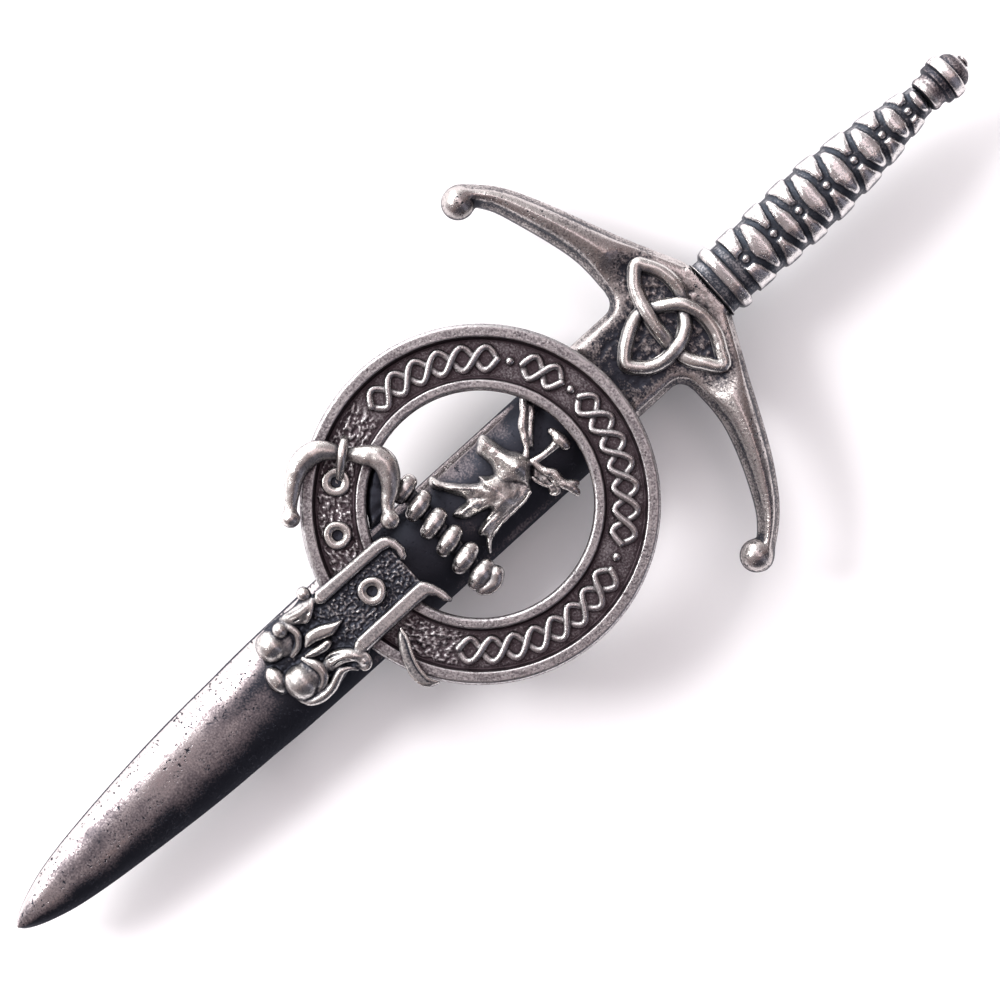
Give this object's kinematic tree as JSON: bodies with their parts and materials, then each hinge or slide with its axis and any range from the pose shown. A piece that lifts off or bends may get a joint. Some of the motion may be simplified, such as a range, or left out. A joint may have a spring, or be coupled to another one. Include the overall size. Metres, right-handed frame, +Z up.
{
  "type": "kilt pin",
  "caption": "Cast kilt pin in the form of a sword, with a knot on its guard, a buckled strap ring round a stag's head on a wreath, and a brooch pin behind.",
  "frame": {"origin": "the surface that the pin lies on, below the middle of the sword's length and of the guard's span", "axes": "+Z up out of the ornamented front, +Y along the sword towards the pommel, +X to the right seen from the front with the hilt up"},
  "size_m": [0.0366, 0.095, 0.0111],
  "materials": {
    "pewter_smooth": "antiqued pewter, polished high spots over a dark patina, fine pits",
    "pewter_bright": "polished pewter relief with dark recesses",
    "pewter_dark": "blackened grainy pewter with worn rims",
    "steel": "plain nickel-plated steel"
  },
  "bodies": {
    "root": {"blade": "pewter_smooth", "guard": "pewter_smooth", "trinity_knot": "pewter_bright", "grip": "pewter_smooth", "pommel": "pewter_smooth", "strap_ring": "pewter_dark", "plait_band": "pewter_bright", "buckle_frame": "pewter_bright", "buckle_prong": "pewter_bright", "eyelet_buckle": "pewter_bright", "eyelet_strap": "pewter_bright", "eyelet_tail": "pewter_bright", "strap_tail": "pewter_dark", "strap_tip": "pewter_bright", "strap_keeper": "pewter_bright", "wreath": "pewter_bright", "stag_head": "pewter_bright", "brooch_pin": "steel"}
  },
  "joints": []
}
